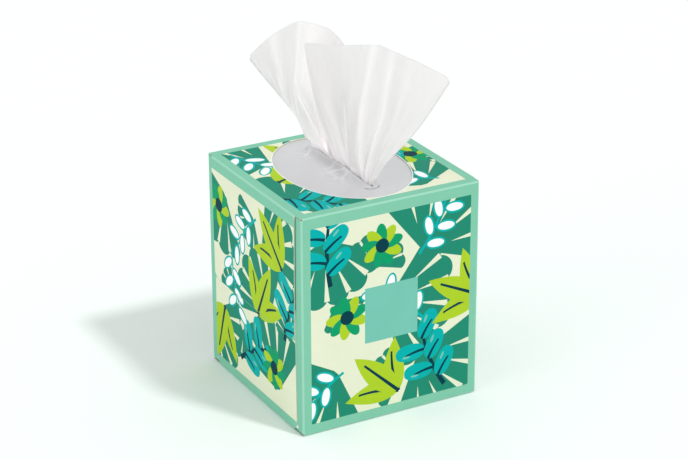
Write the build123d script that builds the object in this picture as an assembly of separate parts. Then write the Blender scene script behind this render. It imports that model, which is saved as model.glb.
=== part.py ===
from build123d import *
import math
import os

# An upright tissue box: a folded carton, a slit window film under its oval opening,
# the arched stack of tissues inside and the tissue that stands in the slit.
# Millimetres, +Z up, origin at the middle of the underside, front panel at -Y.

# Carton
WIDTH = 110.0  # X, over the end flaps
DEPTH = 109.0  # Y, front panel to back panel
HEIGHT = 126.0  # Z, underside to top panel
BOARD = 0.5  # thickness of the paperboard
FOLD_INSIDE = 0.4  # inside radius of a scored fold
CLEAR = 0.3  # gap between a cut edge and the panel beside it
GLUE_FLAP = 14.0  # width of the flap glued inside the bottom panel
GLUE_TAPER = 5.0  # how much each end of the glue flap is cut back
DUST_GAP = 17.0  # between the two dust flaps of an end
UPPER_FLAP = 72.0  # height of the outer end flap, hinged on the top panel
FLAP_LAP = 18.0  # how far it is glued over the lower end flap
FLAP_INSET = 6.0  # side edge of an end flap in from the carton's corner
FLAP_TAPER = 1.2  # extra inset at a flap's free end
FLAP_CORNER = 3.0  # radius of the upper flap's free corners
RELIEF = 4.0  # corner cut beside the hinge of a lower flap
RIM_X = 20.5  # board left beside the oval opening
RIM_Y = 6.75  # board left in front of it and behind it

# Window film
FILM = 0.15  # thickness
FILM_LAP = 4.5  # film glued under the board round the opening
FILM_CORNER = 3.0
SLIT_END = 12.75  # from the end of the opening to the end of the slit
SLIT_CLEAR = 1.9  # between the tissue's pleats and the sides of the slit
LIP_RISE = 4.0  # height of the film's lips, drawn up by the tissue
LIP_SPREAD = 8.0  # reach of the raised film from the slit's sides
LIP_END = 3.0  # reach of the raised film from the slit's ends
STOP_RADIUS = 5.0  # arc cut at each end that stops the slit from tearing
STOP_ANGLE = 130.0
STOP_CUT = 0.5

# Tissue stack
STACK_THICK = 25.0  # thickness of the clip of tissues
STACK_SIDE = 1.0  # gap to the front and back panels
STACK_END = 2.0  # gap to the dust flaps
HEADSPACE = 8.6  # from the crown of the arch to the film
REST = 0.3  # gap under what rests on another piece

# Top tissue
TISSUE = 0.3  # two plies
PLEATS = 4.5  # waves across the slit
PLEAT_DEPTH = 3.4  # half the depth of a wave in the slit
GATHER_END = 3.0  # from the gathered sheet to the end of the slit
FLARE = 1.3  # how late the sheet opens out above the slit
COLUMNS = 64  # facets across the sheet
# The sheet's cut edge, from its back left corner to its front right one: x, y and
# height above the top panel
EDGE = [
    (-33, 44, 54),
    (-21, 40, 65),
    (-6, 34, 73),
    (20, 22, 67),
    (-19, 6, 72),
    (15, -14, 70),
    (27, -27, 64),
    (42, -42, 54),
]

half_y = DEPTH / 2
fold = FOLD_INSIDE + BOARD
mid_y = half_y - BOARD / 2
top_mid = HEIGHT - BOARD / 2

# The layers of an end, from outside: upper flap, lower flap, dust flaps
upper_x = WIDTH / 2 - BOARD / 2
lower_x = upper_x - BOARD
dust_x = lower_x - BOARD
panel_x = dust_x + BOARD / 2
tube_x = panel_x - fold


def bent(plane, points, length):
    """A strip of board bent along a line through its thickness, as long as its folds."""
    line = FilletPolyline(*points, radius=fold - BOARD / 2)
    return extrude(plane * trace(line, line_width=BOARD), amount=length / 2, both=True)


def cut_to(flap, outline):
    """An end flap cut to its outline in Y and Z."""
    return flap & extrude(Plane.YZ * make_face(outline), amount=WIDTH, both=True)


# Front, top, back and bottom panels in one strip, and the glue flap that the back panel
# turns in to the inside of the bottom one
seam_z = 3 * fold
tube = bent(
    Plane.YZ,
    [
        (mid_y, seam_z),
        (mid_y, top_mid),
        (-mid_y, top_mid),
        (-mid_y, BOARD / 2),
        (half_y - CLEAR, BOARD / 2),
    ],
    2 * tube_x,
)
tube += bent(
    Plane.YZ,
    [(mid_y, seam_z), (mid_y, 1.5 * BOARD), (half_y - GLUE_FLAP, 1.5 * BOARD)],
    2 * tube_x,
)
for end in (-1, 1):
    wedge = Polyline(
        (end * tube_x, half_y - GLUE_FLAP),
        (end * (tube_x - GLUE_TAPER), half_y - GLUE_FLAP),
        (end * tube_x, half_y - BOARD),
        close=True,
    )
    tube -= Pos(0, 0, BOARD) * extrude(make_face(wedge), amount=BOARD)

# The top and bottom panels run on to the dust flaps between the folds
panel_end = Box(2 * panel_x, DEPTH - 2 * fold, BOARD)
carton = tube + Pos(0, 0, top_mid) * panel_end + Pos(0, 0, BOARD / 2) * panel_end

# Dust flaps, hinged on the front and back panels
dust_low = 2 * BOARD + CLEAR
dust_high = HEIGHT - BOARD - CLEAR
for side in (-1, 1):
    for end in (-1, 1):
        carton += bent(
            Plane.XY.offset((dust_low + dust_high) / 2),
            [
                (end * (tube_x - fold), side * mid_y),
                (end * dust_x, side * mid_y),
                (end * dust_x, side * DUST_GAP / 2),
            ],
            dust_high - dust_low,
        )

# Lower flaps, hinged on the bottom panel, with cut corners beside the hinge
seam = HEIGHT - UPPER_FLAP
lower_top = seam + FLAP_LAP
root = half_y - FLAP_INSET
tip = root - FLAP_TAPER
lower_outline = Polyline(
    (-root + RELIEF, 0),
    (root - RELIEF, 0),
    (root, RELIEF + fold),
    (tip, lower_top),
    (-tip, lower_top),
    (-root, RELIEF + fold),
    close=True,
)
for end in (-1, 1):
    flap = bent(
        Plane.XZ,
        [
            (end * (tube_x - fold), BOARD / 2),
            (end * lower_x, BOARD / 2),
            (end * lower_x, lower_top),
        ],
        DEPTH,
    )
    carton += cut_to(flap, lower_outline)

# Upper flaps, hinged on the top panel and glued over the lower ones
upper_outline = FilletPolyline(
    (-root, HEIGHT),
    (root, HEIGHT),
    (tip, seam),
    (-tip, seam),
    radius=[0, 0, FLAP_CORNER, FLAP_CORNER],
    close=True,
)
for end in (-1, 1):
    flap = bent(
        Plane.XZ,
        [
            (end * (tube_x - fold), top_mid),
            (end * upper_x, top_mid),
            (end * upper_x, seam),
        ],
        DEPTH,
    )
    carton += cut_to(flap, upper_outline)

# Oval opening, left by the torn-out cover
oval_x = WIDTH - 2 * RIM_X
oval_y = DEPTH - 2 * RIM_Y
carton -= Pos(0, 0, HEIGHT) * extrude(Ellipse(oval_x / 2, oval_y / 2), amount=-BOARD)

# The film lies flat under the top panel and rises in lips round the slit
film_top = HEIGHT - BOARD
film_low = film_top - FILM
slit_y = oval_y - 2 * SLIT_END
slit_x = 2 * (PLEAT_DEPTH + TISSUE / 2 + SLIT_CLEAR)


def under_lips(grow):
    """The space under the raised film, grown sideways by the film's thickness."""
    foot = Ellipse(slit_x / 2 + LIP_SPREAD + grow, slit_y / 2 + LIP_END + grow)
    crest = Ellipse(slit_x / 2 + grow, slit_y / 2 + grow)
    return loft([Pos(0, 0, film_low) * foot, Pos(0, 0, film_top + LIP_RISE) * crest])


sheet_x = oval_x + 2 * FILM_LAP
sheet_y = oval_y + 2 * FILM_LAP
film = Pos(0, 0, film_low) * extrude(RectangleRounded(sheet_x, sheet_y, FILM_CORNER), amount=FILM)
film += under_lips(FILM)
film -= under_lips(0)
for end in (-1, 1):
    middle = (0, end * (slit_y / 2 + LIP_END - STOP_RADIUS))
    arc = CenterArc(middle, STOP_RADIUS, end * 90 - STOP_ANGLE / 2, STOP_ANGLE)
    film -= Pos(0, 0, film_low) * extrude(SlotArc(arc, STOP_CUT), amount=LIP_RISE + FILM)

# The clip of tissues is bent over into an arch. Every sheet in it is as long as the
# others, so the outer ones end higher and the legs stand on the inner sheets
outer_r = mid_y - BOARD / 2 - STACK_SIDE
inner_r = outer_r - STACK_THICK
floor = BOARD + REST
crown = film_low - HEADSPACE
spring = crown - outer_r
outer_end = floor + math.pi * (outer_r - inner_r) / 2
profile = make_face(
    [
        Line((outer_r, outer_end), (outer_r, spring)),
        ThreePointArc((outer_r, spring), (0, crown), (-outer_r, spring)),
        Line((-outer_r, spring), (-outer_r, outer_end)),
        Line((-outer_r, outer_end), (-inner_r, floor)),
        Line((-inner_r, floor), (-inner_r, spring)),
        ThreePointArc((-inner_r, spring), (0, spring + inner_r), (inner_r, spring)),
        Line((inner_r, spring), (inner_r, floor)),
        Line((inner_r, floor), (outer_r, outer_end)),
    ]
)
stack_half = dust_x - BOARD / 2 - STACK_END
stack = extrude(Plane.YZ * profile, amount=stack_half, both=True)

# The tissue is gathered in waves in the slit and opens upward to its cut edge
gather = slit_y - 2 * GATHER_END
edge_line = Spline(*[(x, y, HEIGHT + rise) for x, y, rise in EDGE])


def sheet_point(u, v):
    """A point in the middle of the tissue: u across the sheet, v up it."""
    edge = edge_line @ u
    waist = PLEAT_DEPTH * math.sqrt(max(0.0, 1 - (2 * u - 1) ** 2))
    foot_x = waist * math.sin(2 * math.pi * PLEATS * u)
    foot_y = gather * (0.5 - u)
    foot_z = spring + math.sqrt(outer_r**2 - foot_y**2) + REST
    z = foot_z + (edge.Z - foot_z) * v
    opened = max(0.0, (z - film_top) / (edge.Z - film_top)) ** FLARE
    return Vector(foot_x + (edge.X - foot_x) * opened, foot_y + (edge.Y - foot_y) * opened, z)


def face_net(shift):
    """Rows of points on one face of the tissue, moved from its middle along its normal."""
    step = 0.002
    rows = []
    for v in (0, 0.1, 0.18, 0.24, 0.31, 0.42, 0.56, 0.72, 0.86, 1):
        row = []
        for column in range(COLUMNS + 1):
            u = column / COLUMNS
            across = sheet_point(min(u + step, 1), v) - sheet_point(max(u - step, 0), v)
            up = sheet_point(u, min(v + step, 1)) - sheet_point(u, max(v - step, 0))
            row.append(sheet_point(u, v) + across.cross(up).normalized() * shift)
        rows.append(row)
    return rows


def creased(rows):
    """Flat facets between rows of points, two to each cell, as creased paper has."""
    facets = []
    for low, high in zip(rows, rows[1:]):
        for i in range(len(low) - 1):
            facets.append(Face(Wire.make_polygon([low[i], low[i + 1], high[i + 1]])))
            facets.append(Face(Wire.make_polygon([low[i], high[i + 1], high[i]])))
    return facets


front = face_net(TISSUE / 2)
back = face_net(-TISSUE / 2)
facets = creased(front) + creased(back)
# Its foot, its cut edge and its two sides
facets += creased([front[0], back[0]]) + creased([front[-1], back[-1]])
for end in (0, -1):
    facets += creased([[row[end] for row in front], [row[end] for row in back]])
tissue = Solid(Shell(facets))

os.makedirs("parts", exist_ok=True)
export_step(carton, "parts/carton.step")
export_step(film, "parts/window_film.step")
export_step(stack, "parts/tissue_stack.step")
export_step(tissue, "parts/top_tissue.step")
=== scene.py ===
import math
import random

import bmesh
import bpy
import numpy as np
from mathutils import Matrix, Vector, noise
from mathutils.geometry import delaunay_2d_cdt


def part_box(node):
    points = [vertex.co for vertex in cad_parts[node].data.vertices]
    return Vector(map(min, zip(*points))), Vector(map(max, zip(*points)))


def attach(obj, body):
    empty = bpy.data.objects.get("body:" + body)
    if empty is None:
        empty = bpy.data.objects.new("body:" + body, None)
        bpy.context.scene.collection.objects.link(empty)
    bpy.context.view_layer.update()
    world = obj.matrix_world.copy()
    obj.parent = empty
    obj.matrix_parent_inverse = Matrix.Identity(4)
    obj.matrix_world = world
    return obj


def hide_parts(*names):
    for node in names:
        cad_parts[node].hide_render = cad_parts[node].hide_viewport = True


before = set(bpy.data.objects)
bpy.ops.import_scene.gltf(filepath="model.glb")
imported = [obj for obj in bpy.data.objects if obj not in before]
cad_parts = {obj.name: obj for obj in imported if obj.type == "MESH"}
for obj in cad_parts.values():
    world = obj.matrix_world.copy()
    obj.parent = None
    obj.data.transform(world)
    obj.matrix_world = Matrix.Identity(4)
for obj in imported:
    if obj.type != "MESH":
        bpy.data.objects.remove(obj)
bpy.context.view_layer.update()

# CARTON. One die-cut sheet of paperboard, printed and varnished outside and bare inside, folded
# into a tube and closed at both ends with glued flaps. Its flat outsides are cut up along the
# outlines of the print, so that every field of ink is faces of its own colour.
board = bmesh.new()
board.from_mesh(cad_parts["carton"].data)
bmesh.ops.remove_doubles(board, verts=board.verts[:], dist=1e-6)
board.normal_update()
print_layer = board.loops.layers.float_color.new("print")
for face in board.faces:
    for loop in face.loops:
        loop[print_layer] = (0, 0, 0, 0)
ink = {
    "mint": (133, 201, 173),
    # The fold colour, a lighter mint, is a painted highlight along the outer bends
    "fold": (158, 216, 191),
    "cream": (233, 237, 210),
    "pine": (36, 139, 113),
    "lime": (176, 208, 45),
    "teal": (0, 177, 174),
    "navy": (4, 62, 75),
    "green": (14, 158, 105),
    "foam": (120, 197, 179),
    "white": (252, 254, 252),
    "edge": (224, 226, 212),
    "board": (206, 195, 176),
}
# Written as screen colours above, and used as linear ones a little under full strength
ink_strength = 0.92
for name, rgb in ink.items():
    ink[name] = tuple(ink_strength * ((c / 255 + 0.055) / 1.055) ** 2.4 for c in rgb) + (1.0,)


def turned(points, x, y, degrees, size=1.0):
    """A motif scaled, turned and set in its place, in millimetres on the panel."""
    c, s = size * math.cos(math.radians(degrees)), size * math.sin(math.radians(degrees))
    return [(x + c * a - s * b, y + s * a + c * b) for a, b in points]


def oval(long, wide, power=2.0):
    """A rounded outline that stands on the origin."""
    points = []
    for k in range(28):
        t = 2 * math.pi * k / 28
        c, s = math.cos(t), math.sin(t)
        a = wide / 2 * math.copysign(abs(c) ** (2 / power), c)
        b = long / 2 * math.copysign(abs(s) ** (2 / power), s)
        points.append((a, long / 2 + b))
    return points


def blade(long, wide, lean):
    """A broad blade that rises from the origin and leans over."""
    left, right = [], []
    for k in range(13):
        t = k / 12
        half = wide / 2 * math.sin(math.pi * t**0.8) ** 0.9
        left.append((lean * t * t - half, long * t))
        right.append((lean * t * t + half, long * t))
    return left + right[-2:0:-1]


def stalk(long, lean, wide):
    """A thin line from the origin with a bend in it."""
    left, right = [], []
    for k in range(11):
        t = k / 10
        left.append((lean * t * t - wide / 2 * (1 - 0.4 * t), long * t))
        right.append((lean * t * t + wide / 2 * (1 - 0.4 * t), long * t))
    return left + right[::-1]


def fan(r, spread, ribs):
    """A scalloped fan that opens upward from the origin, and the slits between its ribs."""
    rim = [(0.05 * r, 0)]
    for k in range(12 * ribs + 1):
        t = k / (12 * ribs)
        angle = math.radians(90 - spread / 2 + spread * t)
        reach = r * (0.9 + 0.1 * abs(math.sin(math.pi * ribs * t)) ** 0.7)
        rim.append((reach * math.cos(angle), reach * math.sin(angle)))
    rim.append((-0.05 * r, 0))
    slits = []
    for k in range(1, ribs):
        angle = math.radians(90 - spread / 2 + spread * k / ribs)
        out, side = (math.cos(angle), math.sin(angle)), (-math.sin(angle), math.cos(angle))
        ends = [(0.42 * r, 0), (0.9 * r, 0.042 * r), (0.9 * r, -0.042 * r)]
        slits.append([(d * out[0] + w * side[0], d * out[1] + w * side[1]) for d, w in ends])
    return rim, slits


def tuft():
    """Three broad blades on one root, each with a rib."""
    shapes = []
    for k in (-1, 1, 0):
        long = 25 - 4 * abs(k)
        shapes.append(("lime", turned(blade(long, 9.5, 7 * k), 0, 0, -24 * k)))
        shapes.append(("navy", turned(stalk(long * 0.78, 3.6 * k, 1.4), 0, 0, -24 * k)))
    return shapes


def pods():
    """A bent stem with pods on both sides, each with a rib and a gleam."""
    shapes = [("navy", stalk(25, 5, 1.9))]
    gleam = [(a - 1.6, b + 6) for a, b in oval(3.2, 0.9)]
    for k in range(5):
        side = -1 if k % 2 else 1
        at = (5 * (k / 5) ** 2, 5 + 4.4 * k, -side * 58)
        shapes.append(("teal", turned(oval(12, 6.6, 2.4), *at)))
        shapes.append(("navy", turned(stalk(8, side * 1.2, 1.2), *at)))
        shapes.append(("foam", turned(gleam, *at)))
    return shapes


def rosette():
    """A ring of petals in two colours round a dark disc."""
    shapes = []
    for k in range(9):
        petal = [(a, b + 10) for a, b in turned(oval(8.5, 4.4), 0, 0, 40 * k)]
        shapes.append((("green", "lime")[k % 2], petal))
    shapes.append(("navy", turned(oval(5.4, 5.4), 0, 7.3, 0)))
    return shapes


def spray():
    """A bent stem with white leaves on both sides, outlined in its own colour."""
    shapes = [("teal", stalk(24, -5, 1.1))]
    inner = [(a, b + 0.75) for a, b in oval(6.9, 3.1)]
    for k in range(6):
        side = -1 if k % 2 else 1
        at = (-5 * (k / 6) ** 2, 4 + 3.6 * k, -side * 52)
        shapes.append(("teal", turned(oval(8.4, 4.6), *at)))
        shapes.append(("white", turned(inner, *at)))
    return shapes


def rooted(x, y, degrees, back):
    """Where a motif stands, and how far it is turned, for its middle to fall on a place."""
    angle = math.radians(degrees)
    return x + back * math.sin(angle), y - back * math.cos(angle), degrees


def panel_print(seed, half, low, high):
    """The print of one panel, as colours and outlines from the back of the picture to the front:
    a big or a small fan in each place of a staggered net, and then a motif in each place."""
    dice = random.Random(seed)
    backs, motifs = [], []
    rows, columns, stray, size = 3, 3, 3, 1.5
    for row in range(rows):
        for column in range(columns):
            x = -half + 2 * half * (column + 0.25 + 0.5 * (row % 2)) / columns + dice.uniform(-stray, stray)
            y = low + (high - low) * (row + 0.5) / rows + dice.uniform(-stray, stray)
            angle = dice.uniform(0, 360)
            big = (row + column) % 2 == 0
            reach = dice.uniform(36, 43) if big else dice.uniform(16, 20)
            rim, slits = fan(reach, dice.uniform(120, 160), 6)
            place = rooted(x, y, angle, 12)
            backs.append(("pine", turned(rim, *place)))
            backs += [("cream", turned(slit, *place)) for slit in slits]
            motif = (tuft, pods, rosette, spray)[(column + 3 * row + seed) % 4]
            angle = dice.uniform(-70, 70) + 180 * (dice.random() < 0.3)
            root = rooted(x, y, angle, 10 * size)
            motifs += [(name, turned(shape, *root, size)) for name, shape in motif()]
    return backs + motifs


def sides(outline):
    """The straight sides of a closed outline, each as its two ends."""
    return list(zip(outline, outline[1:] + outline[:1]))


def kept(p, q, field, hole):
    """The pieces of a line that lie in the printed field and clear of the opening."""
    low, high = 0.0, 1.0
    dx, dy = q[0] - p[0], q[1] - p[1]
    for a, b in sides(field):
        nx, ny = a[1] - b[1], b[0] - a[0]
        near = (p[0] - a[0]) * nx + (p[1] - a[1]) * ny
        rate = dx * nx + dy * ny
        if abs(rate) < 1e-9:
            if near < 0:
                return []
        elif rate > 0:
            low = max(low, -near / rate)
        else:
            high = min(high, -near / rate)
    spans = [(low, high)]
    if hole:
        px, py, ex, ey = p[0] / hole[0], p[1] / hole[1], dx / hole[0], dy / hole[1]
        a, b, c = ex * ex + ey * ey, px * ex + py * ey, px * px + py * py - 1
        if b * b - a * c > 0 and a > 0:
            root = math.sqrt(b * b - a * c)
            spans = [(low, min(high, (-b - root) / a)), (max(low, (-b + root) / a), high)]
    return [[(p[0] + t * dx, p[1] + t * dy) for t in span] for span in spans if span[1] - span[0] > 1e-4]


def within(points, lines):
    """Which points lie inside the closed outlines that some lines make."""
    x, y = points[:, 0], points[:, 1]
    found = np.zeros(len(points), bool)
    for (x0, y0), (x1, y1) in lines:
        if y0 != y1:
            crosses = (y0 > y) != (y1 > y)
            found ^= crosses & (x < (x1 - x0) * (y - y0) / (y1 - y0) + x0)
    return found


def printed(right, up, level, field, ground, shapes, hole=None):
    """Cuts the flat outside of a panel along the print's outlines and inks every piece."""
    out = right.cross(up)
    flat = [
        f
        for f in board.faces
        if f.normal.dot(out) > 0.999 and all(abs(v.co.dot(out) - level) < 2e-5 for v in f.verts)
    ]
    chosen = set(flat)
    edges = dict.fromkeys(e for f in flat for e in f.edges)
    rim = [e for e in edges if sum(f in chosen for f in e.link_faces) == 1]
    corners = list(dict.fromkeys(v for e in rim for v in e.verts))
    number = {v: i for i, v in enumerate(corners)}
    points = [Vector((v.co.dot(right), v.co.dot(up))) * 1000 for v in corners]
    lines = [(number[e.verts[0]], number[e.verts[1]]) for e in rim]
    rim_lines = [(points[a], points[b]) for a, b in lines]
    for outline in [field] + [shape for _, shape in shapes]:
        for p, q in sides(outline):
            for piece in kept(p, q, field, hole):
                lines.append((len(points), len(points) + 1))
                points += [Vector(end) for end in piece]
    spots, _, pieces, origins, _, _ = delaunay_2d_cdt(points, lines, [], 0, 1e-4)
    middles = np.array([[sum(spots[i][k] for i in piece) / 3 for k in (0, 1)] for piece in pieces])
    on_panel = within(middles, rim_lines)
    colour = np.where(within(middles, sides(field)), ground, "mint").astype(object)
    in_field = colour == ground
    for name, shape in shapes:
        box = np.array(shape)
        near = in_field & (middles >= box.min(0)).all(1) & (middles <= box.max(0)).all(1)
        near[near] = within(middles[near], sides(shape))
        colour[near] = name
    bmesh.ops.delete(board, geom=flat, context="FACES")
    placed = {}
    for piece, name, shown in zip(pieces, colour, on_panel):
        if shown:
            for i in piece:
                if i not in placed:
                    old = [n for n in origins[i] if n < len(corners)]
                    where = (right * spots[i][0] + up * spots[i][1]) / 1000 + out * level
                    placed[i] = corners[old[0]] if old else board.verts.new(where)
            face = board.faces.new([placed[i] for i in piece])
            for loop in face.loops:
                loop[print_layer] = ink[name]


wide, deep, tall = (1000 * (b - a) for a, b in zip(*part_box("carton")))
board_thick, fold_round = 0.5, 0.9
x_axis, y_axis, z_axis = Vector((1, 0, 0)), Vector((0, 1, 0)), Vector((0, 0, 1))
side_field = [(-48.7, 6.1), (48.9, 6.1), (48.9, 119.2), (-48.7, 119.2)]
label = [(-16.2, 46.2), (16.2, 46.2), (16.2, 78.4), (-16.2, 78.4)]
front_print = panel_print(3, 49, 6, 119) + [("foam", label)]
printed(x_axis, z_axis, deep / 2000, side_field, "cream", front_print)
printed(-x_axis, z_axis, deep / 2000, side_field, "cream", panel_print(8, 49, 6, 119))
# The cover tore out along a perforation, which bared a white line of fibres round the opening
opening_half, margin, torn_wide = (34.5, 47.75), 0.2, 0.45
torn = []
for k in range(96):
    t = math.pi * k / 48
    torn.append(((opening_half[0] + torn_wide) * math.cos(t), (opening_half[1] + torn_wide) * math.sin(t)))
top_field = [(-49, -48.4), (49, -48.4), (49, 48.4), (-49, 48.4)]
top_print = panel_print(5, 49, -49, 49) + [("white", torn)]
bare_of_print = [half + margin for half in opening_half]
printed(x_axis, y_axis, tall / 1000, top_field, "cream", top_print, bare_of_print)
# At the ends the upper flap lies on the lower one, and that on the dust flaps, which show beside and
# below them and whose corners are left unprinted
upper_field = [(-44.4, 54.2), (44.4, 54.2), (47.2, 57.2), (48.2, 119.4), (-48.2, 119.4), (-47.2, 57.2)]
lower_field = [(-48.2, 6.2), (48.2, 6.2), (47.4, 53.8), (-47.4, 53.8)]
whole_end = [(-60, -5), (60, -5), (60, 131), (-60, 131)]
bare = [("white", [(s * 46.4, 2.2), (s * 49.0, 2.6), (s * 48.6, 4.6)]) for s in (-1, 1)]
for across, seed in ((-y_axis, 12), (y_axis, 17)):
    end_print = panel_print(seed, 49, 6, 119)
    layers = [(upper_field, "cream", end_print), (lower_field, "cream", end_print), (whole_end, "mint", bare)]
    for k, (field, ground, shapes) in enumerate(layers):
        printed(across, z_axis, (wide / 2 - k * board_thick) / 1000, field, ground, shapes)

# What is left is the folds, inked outside in a lighter mint that is a painted highlight, and the bare board
# of the inside and the cut edges
for face in board.faces:
    if face.loops[0][print_layer][3] == 0:
        middle = face.calc_center_median()
        x, y, z = (1000 * abs(c) for c in middle)
        end, side = wide / 2, deep / 2
        turns = [
            (y - side + fold_round, z - tall + fold_round),
            (y - side + fold_round, fold_round - z),
            (x - end + 2 * board_thick + fold_round, y - side + fold_round),
            (x - end + fold_round, z - tall + fold_round),
            (x - end + board_thick + fold_round, fold_round - z),
        ]
        outside = any(min(turn) > 0 and math.hypot(*turn) > fold_round - 0.1 for turn in turns)
        facing_out = face.normal.x * math.copysign(1, middle.x) > 0.99
        dust = facing_out and abs(x - end + 2 * board_thick) < 0.01
        under = face.normal.z < -0.99 and z < 0.01
        cut = x > end - 2 * board_thick - 0.05
        # Outer bends take the fold colour, a painted highlight
        name = "fold" if outside else "mint" if dust or under else "edge" if cut else "board"
        face.smooth = outside
        for loop in face.loops:
            loop[print_layer] = ink[name]
bmesh.ops.delete(board, geom=[v for v in board.verts if not v.link_faces], context="VERTS")
carton_mesh = bpy.data.meshes.new("printed_carton")
board.to_mesh(carton_mesh)
board.free()
carton = bpy.data.objects.new("printed_carton", carton_mesh)
bpy.context.scene.collection.objects.link(carton)

print_material = bpy.data.materials.new("printed board")
print_material.use_nodes = True
nodes, links = print_material.node_tree.nodes, print_material.node_tree.links
shader = nodes["Principled BSDF"]
shader.inputs["Specular IOR Level"].default_value = 0.04
inks = nodes.new("ShaderNodeAttribute")
inks.attribute_name = "print"
place = nodes.new("ShaderNodeTexCoord")
fibre = nodes.new("ShaderNodeTexNoise")
fibre.inputs["Scale"].default_value = 900
fibre.inputs["Detail"].default_value = 4
mottle = nodes.new("ShaderNodeTexNoise")
mottle.inputs["Scale"].default_value = 55
mottle.inputs["Detail"].default_value = 3
shade = nodes.new("ShaderNodeMapRange")
shade.inputs["To Min"].default_value = 0.95
shade.inputs["To Max"].default_value = 1.04
tone = nodes.new("ShaderNodeVectorMath")
tone.operation = "SCALE"
gloss = nodes.new("ShaderNodeMapRange")
gloss.inputs["To Min"].default_value = 0.42
gloss.inputs["To Max"].default_value = 0.56
bump = nodes.new("ShaderNodeBump")
bump.inputs["Strength"].default_value = 0.06
bump.inputs["Distance"].default_value = 0.0002
links.new(place.outputs["Object"], fibre.inputs["Vector"])
links.new(place.outputs["Object"], mottle.inputs["Vector"])
links.new(mottle.outputs["Fac"], shade.inputs["Value"])
links.new(inks.outputs["Color"], tone.inputs[0])
links.new(shade.outputs["Result"], tone.inputs["Scale"])
links.new(tone.outputs["Vector"], shader.inputs["Base Color"])
links.new(fibre.outputs["Fac"], gloss.inputs["Value"])
links.new(gloss.outputs["Result"], shader.inputs["Roughness"])
links.new(fibre.outputs["Fac"], bump.inputs["Height"])
links.new(bump.outputs["Normal"], shader.inputs["Normal"])
carton_mesh.materials.append(print_material)
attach(carton, "root")
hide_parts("carton")

# WINDOW FILM. A hazy grey plastic film glued under the top panel, with a slit along the box and
# a crescent cut at each end of the slit. The tissues draw its two sides up into soft lips.
film_z, film_deep = 0.12543, 0.0001
# In millimetres: the film's half sizes and corners, the slit's half length and half width, and the
# crescent's radius, its width and how far beyond the slit it lies
film_half, film_round = (39, 52.25), 3
slit_half, slit_wide = 34.0, 2.9
stop_radius, stop_cut, stop_gap = 5.0, 0.24, 1.6
sheet_outline = []
for side_x, side_y, start in ((1, 1, 0), (-1, 1, 90), (-1, -1, 180), (1, -1, 270)):
    for k in range(7):
        t = math.radians(start + 15 * k)
        x = side_x * (film_half[0] - film_round) + film_round * math.cos(t)
        y = side_y * (film_half[1] - film_round) + film_round * math.sin(t)
        sheet_outline.append((x, y))
slit = []
for k in range(160):
    t = 2 * math.pi * k / 160
    slit.append((slit_wide * math.cos(t) * abs(math.cos(t)) ** 0.15, slit_half * math.sin(t)))
film_holes = [slit]
for end in (-1, 1):
    crescent = []
    middle_y = end * (slit_half + stop_gap - stop_radius)
    outer_r, inner_r = stop_radius + stop_cut / 2, stop_radius - stop_cut / 2
    for r, order in ((outer_r, range(17)), (inner_r, range(16, -1, -1))):
        for k in order:
            t = math.radians(end * 90 + 130 * (k / 16 - 0.5))
            crescent.append((r * math.cos(t), middle_y + r * math.sin(t)))
    film_holes.append(crescent)
film_points, film_lines = [], []
for outline in [sheet_outline] + film_holes:
    first = len(film_points)
    film_points += [Vector(p) for p in outline]
    film_lines += [(first + k, first + (k + 1) % len(outline)) for k in range(len(outline))]
# The net of points that the film bends at is finer beside the slit
fine = 0.6
net = [(x * fine, y * fine) for x in range(-27, 28) for y in range(-87, 88)]
net += [(s * (17 + x), y) for s in (-1, 1) for x in range(22) for y in range(-51, 52)]
clear = [p for p in net if min(math.dist(p, q) for hole in film_holes for q in hole) > 0.75 * fine]
film_points += [Vector(p) for p in clear]
spots, _, pieces, _, _, _ = delaunay_2d_cdt(film_points, film_lines, [], 0, 1e-5)
middles = np.array([[sum(spots[i][k] for i in piece) / 3 for k in (0, 1)] for piece in pieces])
keep = within(middles, sides(sheet_outline))
for outline in film_holes:
    keep &= ~within(middles, sides(outline))
# Where the last tissues have crumpled the film beside the slit: middle, and reach in x and y
crumples = [(-8, -9, 6, 11), (-7, 27, 4, 6), (8, -10, 5, 8), (7, 16, 4, 8)]
lip_rise, lip_spread, crumple_rise = 3.5, 3.6, 0.75
film_verts, film_lip_shade, film_crease_highlight = [], [], []
for x, y in spots:
    edge = slit_wide * math.sqrt(max(0.0, 1 - (y / slit_half) ** 2))
    away = max(0.0, abs(x) - edge) + max(0.0, abs(y) - slit_half)
    along = max(0.0, 1 - (y / (slit_half + 4)) ** 2)
    rise = (lip_rise + 0.4 * math.sin(y * 0.21 + (1.0 if x > 0 else 2.6))) * along
    lift = rise * math.exp(-((away / lip_spread) ** 2)) + 0.5 * along * math.exp(-((away / 11) ** 2))
    ridge = max(0.0, 1 - 5 * abs(noise.noise(Vector((x * 0.2, y * 0.11, 7.0)))))
    crease = 0.0
    for mid_x, mid_y, reach_x, reach_y in crumples:
        off_x, off_y = (x - mid_x) / reach_x, (y - mid_y) / reach_y
        crease += crumple_rise * ridge * math.exp(-(off_x**2 + off_y**2))
    lift += crease
    # Weights for the painted highlight along the creases and the painted shade on the lips' flanks
    film_crease_highlight.append(min(1.0, crease))
    film_lip_shade.append(along * math.exp(-(((away - 2.2) / 2.6) ** 2)))
    slack = 0.16 * noise.noise(Vector((x * 0.06, y * 0.05, 3.0))) * min(1.0, max(0.0, (33 - abs(x)) / 8))
    film_verts.append((x / 1000, y / 1000, film_z + max(-0.0002, (lift + min(0.0, slack)) / 1000)))
film_mesh = bpy.data.meshes.new("slit_film")
film_mesh.from_pydata(film_verts, [], [p for p, shown in zip(pieces, keep) if shown])
for name, values in (("lip_shade", film_lip_shade), ("crease", film_crease_highlight)):
    film_mesh.attributes.new(name, "FLOAT", "POINT").data.foreach_set("value", values)
film_net = bmesh.new()
film_net.from_mesh(film_mesh)
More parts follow.
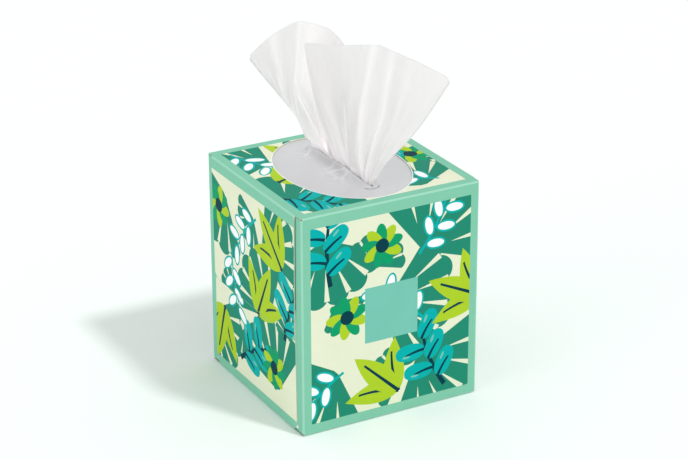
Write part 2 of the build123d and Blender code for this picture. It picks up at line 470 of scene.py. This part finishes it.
bmesh.ops.delete(film_net, geom=[v for v in film_net.verts if not v.link_faces], context="VERTS")
for face in film_net.faces:
    face.smooth = True
film_net.to_mesh(film_mesh)
film_net.free()
film = bpy.data.objects.new("slit_film", film_mesh)
bpy.context.scene.collection.objects.link(film)
film_thick = film.modifiers.new("thickness", "SOLIDIFY")
film_thick.thickness = film_deep
film_thick.offset = 0

film_material = bpy.data.materials.new("hazy film")
film_material.use_nodes = True
nodes, links = film_material.node_tree.nodes, film_material.node_tree.links
shader = nodes["Principled BSDF"]
shader.inputs["Alpha"].default_value = 0.88
shader.inputs["Specular IOR Level"].default_value = 0.5
place = nodes.new("ShaderNodeTexCoord")
haze = nodes.new("ShaderNodeTexNoise")
haze.inputs["Scale"].default_value = 40
haze.inputs["Detail"].default_value = 2
tone = nodes.new("ShaderNodeMix")
tone.data_type = "RGBA"
tone.inputs["A"].default_value = (0.59, 0.59, 0.605, 1)
tone.inputs["B"].default_value = (0.67, 0.67, 0.685, 1)
gloss = nodes.new("ShaderNodeMapRange")
gloss.inputs["To Min"].default_value = 0.28
gloss.inputs["To Max"].default_value = 0.42
links.new(place.outputs["Object"], haze.inputs["Vector"])
links.new(haze.outputs["Fac"], tone.inputs["Factor"])
# Painted shade darkens it on the flanks of the lips, and a painted highlight, partly also the whitening of
# creased film, lightens it along the creases
for name, colour in (("lip_shade", (0.48, 0.48, 0.495, 1)), ("crease", (0.80, 0.80, 0.81, 1))):
    painted_light_mask = nodes.new("ShaderNodeAttribute")
    painted_light_mask.attribute_name = name
    painted_light_mix = nodes.new("ShaderNodeMix")
    painted_light_mix.data_type = "RGBA"
    painted_light_mix.inputs["B"].default_value = colour
    links.new(painted_light_mask.outputs["Fac"], painted_light_mix.inputs["Factor"])
    links.new(tone.outputs["Result"], painted_light_mix.inputs["A"])
    tone = painted_light_mix
links.new(tone.outputs["Result"], shader.inputs["Base Color"])
links.new(haze.outputs["Fac"], gloss.inputs["Value"])
links.new(gloss.outputs["Result"], shader.inputs["Roughness"])
film_mesh.materials.append(film_material)
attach(film, "root")
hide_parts("window_film")

# TISSUE STACK. The clip of interfolded tissues, bent over into an arch inside the carton. Every
# sheet is as long as the others, so the outer ones end higher. Each layer is a slab bent by rule.
stack_tree = bpy.data.node_groups.new("arched stack", "GeometryNodeTree")
stack_tree.interface.new_socket("Geometry", in_out="OUTPUT", socket_type="NodeSocketGeometry")
stack_sizes = {
    "Inner Radius": 0.0283,
    "Layer Pitch": 0.000720,
    "Spring Height": 0.06375,
    "Sheet Length": 0.2125,
    "Sheet Width": 0.1018,
}
for name in stack_sizes:
    stack_tree.interface.new_socket(name, in_out="INPUT", socket_type="NodeSocketFloat")
stack_tree.interface.new_socket("Layers", in_out="INPUT", socket_type="NodeSocketInt")
stack_tree.interface.new_socket("Seed", in_out="INPUT", socket_type="NodeSocketInt")
nodes, links = stack_tree.nodes, stack_tree.links
given = nodes.new("NodeGroupInput").outputs
done = nodes.new("NodeGroupOutput")


def sum_node(operation, *values):
    """One step of arithmetic in the tree."""
    node = nodes.new("ShaderNodeMath")
    node.operation = operation
    for socket, value in zip(node.inputs, values):
        if isinstance(value, (int, float)):
            socket.default_value = value
        else:
            links.new(value, socket)
    return node.outputs[0]


row = nodes.new("GeometryNodeMeshLine")
row.inputs["Offset"].default_value = (0, 0, 0)
links.new(given["Layers"], row.inputs["Count"])
tag = nodes.new("GeometryNodeStoreNamedAttribute")
tag.data_type, tag.domain = "INT", "POINT"
tag.inputs["Name"].default_value = "layer"
links.new(row.outputs["Mesh"], tag.inputs["Geometry"])
links.new(nodes.new("GeometryNodeInputIndex").outputs["Index"], tag.inputs["Value"])
slab = nodes.new("GeometryNodeMeshCube")
slab.inputs["Vertices X"].default_value = 2
slab.inputs["Vertices Y"].default_value = 80
slab.inputs["Vertices Z"].default_value = 2
slab_size = nodes.new("ShaderNodeCombineXYZ")
links.new(given["Sheet Width"], slab_size.inputs["X"])
links.new(given["Sheet Length"], slab_size.inputs["Y"])
links.new(sum_node("MULTIPLY", given["Layer Pitch"], 0.8), slab_size.inputs["Z"])
links.new(slab_size.outputs["Vector"], slab.inputs["Size"])
lay = nodes.new("GeometryNodeInstanceOnPoints")
links.new(tag.outputs["Geometry"], lay.inputs["Points"])
links.new(slab.outputs["Mesh"], lay.inputs["Instance"])
real = nodes.new("GeometryNodeRealizeInstances")
links.new(lay.outputs["Instances"], real.inputs["Geometry"])
layer = nodes.new("GeometryNodeInputNamedAttribute")
layer.data_type = "INT"
layer.inputs["Name"].default_value = "layer"
spot = nodes.new("ShaderNodeSeparateXYZ")
links.new(nodes.new("GeometryNodeInputPosition").outputs["Position"], spot.inputs["Vector"])
slip = nodes.new("FunctionNodeRandomValue")
slip.inputs[2].default_value = -0.0006
slip.inputs[3].default_value = 0.0006
links.new(layer.outputs["Attribute"], slip.inputs["ID"])
links.new(given["Seed"], slip.inputs["Seed"])
outward = sum_node("MULTIPLY", layer.outputs["Attribute"], given["Layer Pitch"])
bend_r = sum_node("ADD", given["Inner Radius"], outward)
quarter = math.pi / 2
turn = sum_node("DIVIDE", spot.outputs["Y"], bend_r)
turn = sum_node("MINIMUM", sum_node("MAXIMUM", turn, -quarter), quarter)
leg = sum_node("ABSOLUTE", sum_node("SUBTRACT", spot.outputs["Y"], sum_node("MULTIPLY", turn, bend_r)))
outer = sum_node("ADD", bend_r, spot.outputs["Z"])
arch_z = sum_node("ADD", given["Spring Height"], sum_node("MULTIPLY", outer, sum_node("COSINE", turn)))
arched = nodes.new("ShaderNodeCombineXYZ")
links.new(sum_node("ADD", spot.outputs["X"], slip.outputs[1]), arched.inputs["X"])
links.new(sum_node("MULTIPLY", outer, sum_node("SINE", turn)), arched.inputs["Y"])
links.new(sum_node("SUBTRACT", arch_z, leg), arched.inputs["Z"])
bend = nodes.new("GeometryNodeSetPosition")
links.new(real.outputs["Geometry"], bend.inputs["Geometry"])
links.new(arched.outputs["Vector"], bend.inputs["Position"])
paper = nodes.new("GeometryNodeSetMaterial")
links.new(bend.outputs["Geometry"], paper.inputs["Geometry"])
links.new(paper.outputs["Geometry"], done.inputs["Geometry"])

stack_material = bpy.data.materials.new("stacked tissue")
stack_material.use_nodes = True
paper.inputs["Material"].default_value = stack_material
maker = bpy.data.objects.new("stack_maker", bpy.data.meshes.new("stack_maker"))
bpy.context.scene.collection.objects.link(maker)
arch = maker.modifiers.new("arched stack", "NODES")
arch.node_group = stack_tree
for item in stack_tree.interface.items_tree:
    if item.in_out == "INPUT":
        arch[item.identifier] = {"Layers": 34, "Seed": 4}.get(item.name, stack_sizes.get(item.name))
bpy.context.view_layer.update()
stack_mesh = bpy.data.meshes.new_from_object(maker.evaluated_get(bpy.context.evaluated_depsgraph_get()))
bpy.data.objects.remove(maker)
stack = bpy.data.objects.new("layered_stack", stack_mesh)
bpy.context.scene.collection.objects.link(stack)

nodes, links = stack_material.node_tree.nodes, stack_material.node_tree.links
shader = nodes["Principled BSDF"]
shader.inputs["Roughness"].default_value = 0.9
place = nodes.new("ShaderNodeTexCoord")
crepe = nodes.new("ShaderNodeTexNoise")
crepe.inputs["Scale"].default_value = 700
crepe.inputs["Detail"].default_value = 3
tone = nodes.new("ShaderNodeMix")
tone.data_type = "RGBA"
tone.inputs["A"].default_value = (0.80, 0.80, 0.79, 1)
tone.inputs["B"].default_value = (0.89, 0.89, 0.88, 1)
bump = nodes.new("ShaderNodeBump")
bump.inputs["Strength"].default_value = 0.3
bump.inputs["Distance"].default_value = 0.0003
links.new(place.outputs["Object"], crepe.inputs["Vector"])
links.new(crepe.outputs["Fac"], tone.inputs["Factor"])
links.new(tone.outputs["Result"], shader.inputs["Base Color"])
links.new(crepe.outputs["Fac"], bump.inputs["Height"])
links.new(bump.outputs["Normal"], shader.inputs["Normal"])
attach(stack, "root")
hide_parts("tissue_stack")

# TOP TISSUE. One two-ply sheet of soft crepe paper. Its lower half is still folded in the stack;
# the upper half is drawn through the slit, gathered there in pleats, and stands up in an S.
columns, rows, sunk = 320, 116, 25
slit_z, corner_share, corner_drop = 126, 0.016, 3.0
stack_spring, stack_radius, stack_gap, tuck_radius = 63.75, 53.0, 6.0, 3.0
# Every fold that runs up the sheet: its place across the sheet, where along the slit it rises, how
# far to the right it leans at these parts of its height, and how far back and how high it ends
heights = [0, 0.25, 0.5, 1]
folds = [
    (0.00, 33.0, [-0.5, -4.5, -13.0, -32.5], 44.0, 182.0),
    (0.08, 32.5, [-1.0, -7.5, -16.0, -21.0], 40.0, 193.0),
    (0.17, 30.5, [-1.5, -9.0, -11.0, -7.0], 34.0, 201.0),
    (0.25, 8.0, [-2.5, -4.5, -8.0, 7.5], 28.0, 196.0),
    (0.36, 4.0, [-0.5, 3.0, 13.0, 23.5], 19.5, 177.0),
    (0.47, -1.0, [-0.5, -2.0, 1.0, 2.0], 13.0, 184.0),
    (0.585, -5.0, [-1.8, -9.0, -14.5, -20.5], 6.0, 198.5),
    (0.68, -14.0, [-2.0, -1.5, -2.5, -3.5], -4.5, 197.0),
    (0.785, -25.0, [-1.8, -3.0, 1.0, 14.5], -14.0, 197.5),
    (0.83, -28.0, [-1.4, 4.5, 13.0, 20.5], -20.0, 194.5),
    (0.895, -30.5, [-0.8, 5.5, 15.5, 28.5], -29.0, 190.5),
    (1.00, -32.5, [0.0, 5.5, 21.0, 42.0], -42.0, 182.5),
]


def softened(values, width):
    """Rounds off the corners of evenly spaced values down the first axis and keeps the ends."""
    half = width // 2
    window = np.hanning(width + 2)[1:-1]
    ends = 2 * values[0] - values[half:0:-1], 2 * values[-1] - values[-2 : -half - 2 : -1]
    padded = np.concatenate([ends[0], values, ends[1]])
    return np.apply_along_axis(lambda line: np.convolve(line, window / window.sum(), "valid"), 0, padded)


def spread(values):
    """Fills in the sheet between the folds, for one value or one row of values for each fold."""
    places = [fold[0] for fold in folds]
    filled = [np.interp(u, places, row) for row in np.atleast_2d(values)]
    return softened(np.stack(filled, axis=1), 13).T


u = np.linspace(0, 1, columns)
rise = np.clip((np.arange(rows) - sunk) / (rows - 1 - sunk), 0, 1)[:, None]
down = np.clip(sunk - np.arange(rows), 0, None)[:, None]
lean = np.stack([np.interp(rise[sunk:, 0], heights, fold[2]) for fold in folds], axis=1)
lean = spread(softened(lean, 25))
x = np.concatenate([np.repeat(lean[:1], sunk, axis=0), lean])
slit_y = spread([fold[1] for fold in folds])
y = spread([fold[3] for fold in folds])
y = y + (slit_y - y) * (1 - rise) ** 2.2
# The top edge runs softly from fold to fold and its two corners are rounded off
corner = np.clip(1 - np.minimum(2 * u, 1 - u) / corner_share, 0, 1)
top_z = softened(spread([fold[4] for fold in folds]).T, 17).T - corner_drop * (1 - np.sqrt(1 - corner**2))
z = slit_z + (top_z - slit_z) * rise
along = np.stack([np.gradient(x, axis=1), np.gradient(y, axis=1)])
along /= np.linalg.norm(along, axis=0)

# The gathers: shallow where they show, and tight and deep in the part that is folded away behind
gather_places = [0, 0.17, 0.25, 0.31, 0.38, 0.48, 0.57, 0.6, 1]
gathers = np.interp(u, gather_places, [0, 1.6, 2, 3.4, 5.1, 7.9, 9, 9.25, 12.8])
pleat = 2 * math.pi * (gathers + 0.06 * np.sin(29.5 * u))
hidden = softened(np.interp(u, [0.27, 0.33, 0.45, 0.54], [0, 1, 1, 0])[:, None], 13)[:, 0]
swell = np.sqrt(1 - (slit_y / (slit_half + 1)) ** 2) * (0.95 + 0.2 * np.sin(20.7 * u + 1.2))
open_share = np.interp(rise, [0, 0.1, 0.2, 0.31, 0.45, 0.7, 1], [0, 0.05, 0.16, 0.34, 0.56, 0.8, 1])
depth = (1.9 + 0.6 * hidden) * (1 - open_share) ** (1.2 - 0.9 * hidden) + 0.1 + 4.5 * hidden * np.sqrt(rise)
wave = depth * swell * (np.sin(pleat) - 0.1 * np.sin(3 * pleat))
# Sharp creases up the sheet, with a painted highlight along the crest of each raised one: place at the slit
# and at the top edge, half width, height, and where they fade out
crest_highlight = np.zeros((rows, columns))
for foot, head, half, high, low_end, high_end in (
    (0.080, 0.082, 0.030, 0.6, 0.3, 1.2),
    (0.170, 0.172, 0.012, 0.5, 0.3, 1.2),
    (0.215, 0.205, 0.055, 0.7, 0.45, 1.4),
    (0.290, 0.080, 0.014, 0.9, 0.05, 0.62),
    (0.584, 0.584, 0.012, 0.3, 0.1, 1.2),
    (0.640, 0.615, 0.014, 0.5, 0.1, 0.7),
    (0.800, 0.775, 0.016, 0.8, 0.1, 1.2),
    (0.815, 0.800, 0.020, -0.9, 0.1, 0.7),
    (0.840, 0.828, 0.016, 0.8, 0.1, 1.1),
    (0.895, 0.885, 0.020, 0.5, 0.2, 1.0),
    (0.940, 0.935, 0.030, -0.4, 0.2, 0.9),
):
    reach = np.clip((rise - low_end + 0.15) / 0.15, 0, 1) * np.clip((high_end - rise) / 0.25, 0, 1)
    ridge = reach * np.clip(1 - np.abs(u - foot - (head - foot) * rise) / half, 0, 1)
    wave += high * ridge
    crest_highlight += max(0, high) * ridge
# Below the slit the sheet drops to the stack and is tucked in on it
drop = slit_z - (stack_spring + np.sqrt(stack_radius**2 - slit_y**2)) - stack_gap
tuck = np.clip((down - drop) / tuck_radius, 0, math.pi / 2)
wave *= 1 - 0.2 * np.sin(tuck)
# The slit holds the gathers between its lips
side = along[1] * wave
y -= along[0] * wave
room = (slit_wide - 0.4) * np.sqrt(np.clip(1 - (y / slit_half) ** 2, 0.03, 1))
held = np.clip((0.095 - rise) / 0.04, 0, 1)
side += held * (room * np.tanh((x + side) / room) - x - side)
x += side * np.cos(tuck) - tuck_radius * (1 - np.cos(tuck))
x -= np.maximum(0, down - drop - tuck_radius * math.pi / 2)
z += wave * np.sin(tuck) - np.minimum(down, drop) - tuck_radius * np.sin(tuck)
tissue_verts = []
for j in range(rows):
    for i in range(columns):
        where = Vector((u[i] * 26, rise[j, 0] * 2.2, 0.0))
        crumple = noise.fractal(where, 0.9, 2.1, 4) * 0.5 * min(1.0, rise[j, 0] * 3)
        spot = (x[j, i] - 0.5 * crumple, y[j, i] - 0.8 * crumple, z[j, i])
        tissue_verts.append([c / 1000 for c in spot])
tissue_faces = []
for j in range(rows - 1):
    for i in range(columns - 1):
        a = j * columns + i
        tissue_faces.append((a, a + 1, a + columns + 1, a + columns))
tissue_mesh = bpy.data.meshes.new("standing_tissue")
tissue_mesh.from_pydata(tissue_verts, [], tissue_faces)
tissue_mesh.polygons.foreach_set("use_smooth", [True] * len(tissue_faces))
sheet_map = tissue_mesh.uv_layers.new(name="sheet")
for loop in tissue_mesh.loops:
    row, column = divmod(loop.vertex_index, columns)
    sheet_map.data[loop.index].uv = (column / columns, row / rows)
bends = tissue_mesh.attributes.new("crease", "FLOAT", "POINT")
bends.data.foreach_set("value", np.clip(crest_highlight, 0, 1).astype(np.float32).ravel())
tissue = bpy.data.objects.new("standing_tissue", tissue_mesh)
bpy.context.scene.collection.objects.link(tissue)
ply = tissue.modifiers.new("plies", "SOLIDIFY")
ply.thickness = 0.00012
ply.offset = 0

tissue_material = bpy.data.materials.new("tissue crepe")
tissue_material.use_nodes = True
nodes, links = tissue_material.node_tree.nodes, tissue_material.node_tree.links
shader = nodes["Principled BSDF"]
shader.inputs["Roughness"].default_value = 0.95
shader.inputs["Specular IOR Level"].default_value = 0.15
place = nodes.new("ShaderNodeUVMap")
place.uv_map = "sheet"
stretch = nodes.new("ShaderNodeMapping")
stretch.inputs["Scale"].default_value = (18, 90, 1)
links.new(place.outputs["UV"], stretch.inputs["Vector"])
crepe = nodes.new("ShaderNodeTexNoise")
crepe.inputs["Scale"].default_value = 3.5
crepe.inputs["Detail"].default_value = 4
links.new(stretch.outputs["Vector"], crepe.inputs["Vector"])
tone = nodes.new("ShaderNodeMix")
tone.data_type = "RGBA"
tone.inputs["A"].default_value = (0.870, 0.850, 0.854, 1)
tone.inputs["B"].default_value = (0.915, 0.894, 0.898, 1)
links.new(crepe.outputs["Fac"], tone.inputs["Factor"])
# Painted highlight: the crests of the raised creases are mixed toward a lighter white
bent = nodes.new("ShaderNodeAttribute")
bent.attribute_name = "crease"
white = nodes.new("ShaderNodeMix")
white.data_type = "RGBA"
white.inputs["B"].default_value = (0.965, 0.944, 0.948, 1)
links.new(bent.outputs["Fac"], white.inputs["Factor"])
links.new(tone.outputs["Result"], white.inputs["A"])
links.new(white.outputs["Result"], shader.inputs["Base Color"])
bump = nodes.new("ShaderNodeBump")
bump.inputs["Strength"].default_value = 0.35
bump.inputs["Distance"].default_value = 0.0004
links.new(crepe.outputs["Fac"], bump.inputs["Height"])
links.new(bump.outputs["Normal"], shader.inputs["Normal"])
through = nodes.new("ShaderNodeBsdfTranslucent")
links.new(white.outputs["Result"], through.inputs["Color"])
thin = nodes.new("ShaderNodeMixShader")
thin.inputs["Fac"].default_value = 0.56
links.new(shader.outputs["BSDF"], thin.inputs[1])
links.new(through.outputs["BSDF"], thin.inputs[2])
links.new(thin.outputs["Shader"], nodes["Material Output"].inputs["Surface"])
tissue_mesh.materials.append(tissue_material)
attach(tissue, "root")
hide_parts("top_tissue")

# STAGE. A plain pale floor, even white light from all round, a main light from the front right and a
# soft one from the left. None of it is part of the object.
floor_mesh = bpy.data.meshes.new("floor")
floor_z = -0.0002
floor_corners = [(x, y, floor_z) for x, y in ((-4, -4), (4, -4), (4, 6), (-4, 6))]
floor_mesh.from_pydata(floor_corners, [], [(0, 1, 2, 3)])
floor = bpy.data.objects.new("floor", floor_mesh)
bpy.context.scene.collection.objects.link(floor)
floor_material = bpy.data.materials.new("pale floor")
floor_material.use_nodes = True
shader = floor_material.node_tree.nodes["Principled BSDF"]
shader.inputs["Base Color"].default_value = (0.90, 0.955, 0.935, 1)
shader.inputs["Roughness"].default_value = 0.9
shader.inputs["Specular IOR Level"].default_value = 0.0
floor_mesh.materials.append(floor_material)

sun_data = bpy.data.lights.new("main light", "SUN")
sun_data.energy = 1.25
sun_data.angle = math.radians(6.5)
sun = bpy.data.objects.new("main light", sun_data)
sun.rotation_euler = Vector((45, -85, 126)).to_track_quat("Z", "Y").to_euler()
bpy.context.scene.collection.objects.link(sun)
# The thin tissue is lit softly, as if apart from the box: it throws no hard shadow of its own
blockers = bpy.data.collections.new("what blocks the main light")
for solid in (carton, film, stack, floor):
    blockers.objects.link(solid)
sun.light_linking.blocker_collection = blockers

fill_data = bpy.data.lights.new("side fill", "SUN")
fill_data.energy = 0.8
fill_data.angle = math.radians(40)
fill = bpy.data.objects.new("side fill", fill_data)
fill.rotation_euler = Vector((-1, -0.15, 0.15)).to_track_quat("Z", "Y").to_euler()
bpy.context.scene.collection.objects.link(fill)

world = bpy.data.worlds.new("white room")
bpy.context.scene.world = world
world.use_nodes = True
nodes, links = world.node_tree.nodes, world.node_tree.links
room = nodes["Background"]
room.inputs["Color"].default_value = (1, 1, 1, 1)
room.inputs["Strength"].default_value = 0.75
seen = nodes.new("ShaderNodeBackground")
seen.inputs["Color"].default_value = (0.94, 1.0, 0.975, 1)
rays = nodes.new("ShaderNodeLightPath")
choose = nodes.new("ShaderNodeMixShader")
# The camera, reflections and the clear film see a pale backdrop in place of the lighting
looks = rays.outputs["Is Camera Ray"]
for kind in ("Is Glossy Ray", "Is Transmission Ray"):
    either = nodes.new("ShaderNodeMath")
    either.operation = "MAXIMUM"
    links.new(looks, either.inputs[0])
    links.new(rays.outputs[kind], either.inputs[1])
    looks = either.outputs["Value"]
links.new(looks, choose.inputs["Fac"])
links.new(room.outputs["Background"], choose.inputs[1])
links.new(seen.outputs["Background"], choose.inputs[2])
links.new(choose.outputs["Shader"], nodes["World Output"].inputs["Surface"])

camera_data = bpy.data.cameras.new("camera")
camera_data.lens = 120.8
camera_data.clip_start = 0.05
camera_data.clip_end = 30
camera = bpy.data.objects.new("camera", camera_data)
# The camera's place and turn were fitted to the seven corners of the box that show
across, upward = Vector((0.87456, -0.48491, -0.00292)), Vector((0.19383, 0.34406, 0.91872))
facing = Matrix((across, upward, across.cross(upward))).transposed().to_4x4()
camera.matrix_world = Matrix.Translation((-0.561668, -1.018436, 0.588447)) @ facing
bpy.context.scene.collection.objects.link(camera)
bpy.context.scene.camera = camera
bpy.context.scene.view_settings.view_transform = "Standard"
